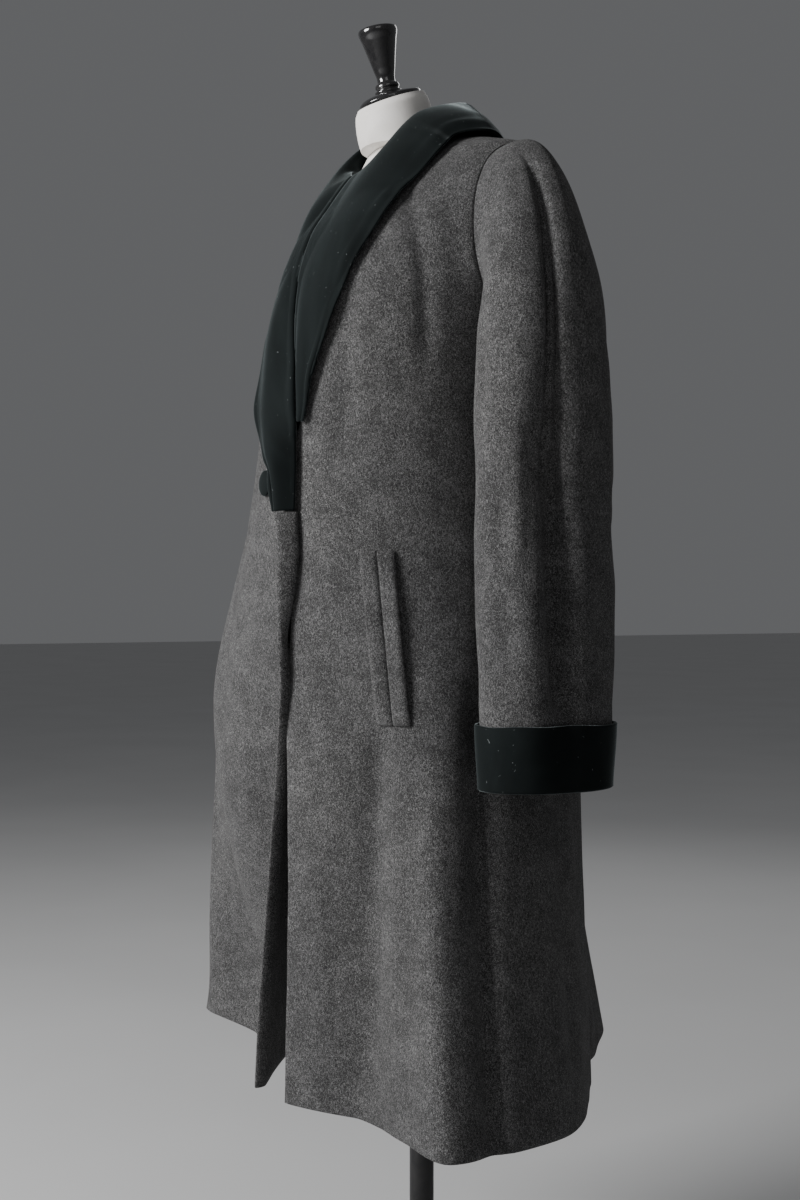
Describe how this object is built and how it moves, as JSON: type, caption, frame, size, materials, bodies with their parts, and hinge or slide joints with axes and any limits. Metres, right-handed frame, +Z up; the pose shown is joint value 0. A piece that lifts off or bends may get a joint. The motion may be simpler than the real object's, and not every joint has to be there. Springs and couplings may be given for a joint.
{
  "type": "wool overcoat on dress form",
  "caption": "Long A-line wool overcoat with velvet shawl collar and turned-back cuffs, on a limbless dress form with pole and round foot.",
  "frame": {"origin": "centre of the foot's underside, on the floor below the pole's axis", "axes": "+Z up along the pole, the wearer's front towards -Y, the wearer's left towards +X"},
  "size_m": [0.6554, 0.5511, 1.5699],
  "materials": {
    "wool": "charcoal melange wool with a short nap",
    "velvet": "black-green cotton velvet",
    "form_cover": "off-white smooth cloth cover",
    "black_lacquer": "gloss black lacquer on turned wood",
    "black_metal": "satin black painted steel"
  },
  "bodies": {
    "root": {"front_left": "wool", "front_right": "wool", "facing_right": "wool", "button": "velvet", "back_left": "wool", "back_right": "wool", "sleeve_left": "wool", "sleeve_right": "wool", "cuff_left": "velvet", "cuff_right": "velvet", "collar_left": "velvet", "collar_right": "velvet", "welt_front_left": "wool", "welt_back_left": "wool", "welt_front_right": "wool", "welt_back_right": "wool", "form_torso": "form_cover", "form_neck": "form_cover", "neck_cap": "black_lacquer", "neck_knob": "black_lacquer", "pole": "black_metal", "foot": "black_metal"}
  },
  "joints": []
}
